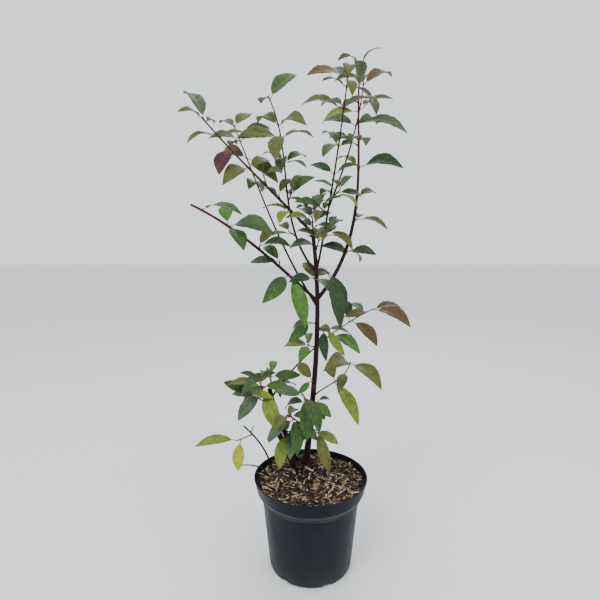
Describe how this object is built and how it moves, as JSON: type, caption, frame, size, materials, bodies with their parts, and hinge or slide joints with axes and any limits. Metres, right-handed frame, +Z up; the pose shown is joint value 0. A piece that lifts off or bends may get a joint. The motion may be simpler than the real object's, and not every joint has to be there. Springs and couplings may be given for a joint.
{
  "type": "potted shrub",
  "caption": "Young upright flowering shrub in a round plastic nursery pot, with several slim limbs, drooping pointed leaves and bark potting mix.",
  "frame": {"origin": "centre of the pot's flat underside", "axes": "+Z up along the pot's axis, +X to the right of the plant's front, +Y away from the front"},
  "size_m": [0.4955, 0.2903, 1.1309],
  "materials": {
    "pot": "dusty matt black plastic",
    "potting_mix": "damp composted bark with pale wood chips",
    "bark": "smooth dark maroon-brown bark",
    "leaves": "matt mid-green leaves, bronze at the tips"
  },
  "bodies": {
    "root": {"bough_basal_twig": "bark", "bough_basal_twig_stub": "bark", "bough_centre_left": "bark", "bough_centre_right": "bark", "bough_cross": "bark", "bough_left_long": "bark", "bough_left_low": "bark", "bough_left_upper": "bark", "bough_low_front_left": "bark", "bough_low_twig": "bark", "bough_right_back": "bark", "bough_right_long": "bark", "bough_stub_back": "bark", "bough_stub_front": "bark", "foliage_centre_left": "leaves", "foliage_centre_left_spur": "leaves", "foliage_centre_left_spur_high": "leaves", "foliage_centre_right": "leaves", "foliage_centre_right_spur_left": "leaves", "foliage_centre_right_spur_low": "leaves", "foliage_centre_right_spur_right": "leaves", "foliage_cross": "leaves", "foliage_leader_spur": "leaves", "foliage_leader_spur_back": "leaves", "foliage_left_long": "leaves", "foliage_left_long_spur_high": "leaves", "foliage_left_long_spur_low": "leaves", "foliage_left_long_spur_mid": "leaves", "foliage_left_low": "leaves", "foliage_left_low_spur_foot": "leaves", "foliage_left_low_spur_inner": "leaves", "foliage_left_low_spur_outer": "leaves", "foliage_left_upper": "leaves", "foliage_low_front": "leaves", "foliage_low_front_edge": "leaves", "foliage_low_front_left": "leaves", "foliage_low_front_right": "leaves", "foliage_low_left": "leaves", "foliage_low_left_back": "leaves", "foliage_low_left_side": "leaves", "foliage_right_back": "leaves", "foliage_right_long": "leaves", "foliage_right_long_spur_high": "leaves", "foliage_right_long_spur_low": "leaves", "foliage_right_long_spur_mid": "leaves", "foliage_right_low": "leaves", "foliage_right_low_spur": "leaves", "foliage_trunk_spur_back": "leaves", "foliage_trunk_spur_fork": "leaves", "foliage_trunk_spur_hanging": "leaves", "foliage_trunk_spur_left": "leaves", "foliage_trunk_spur_left_low": "leaves", "foliage_trunk_spur_low": "leaves", "foliage_trunk_spur_right": "leaves", "foliage_yellow_leaves": "leaves", "pot": "pot", "potting_mix": "potting_mix", "trunk": "bark"}
  },
  "joints": []
}
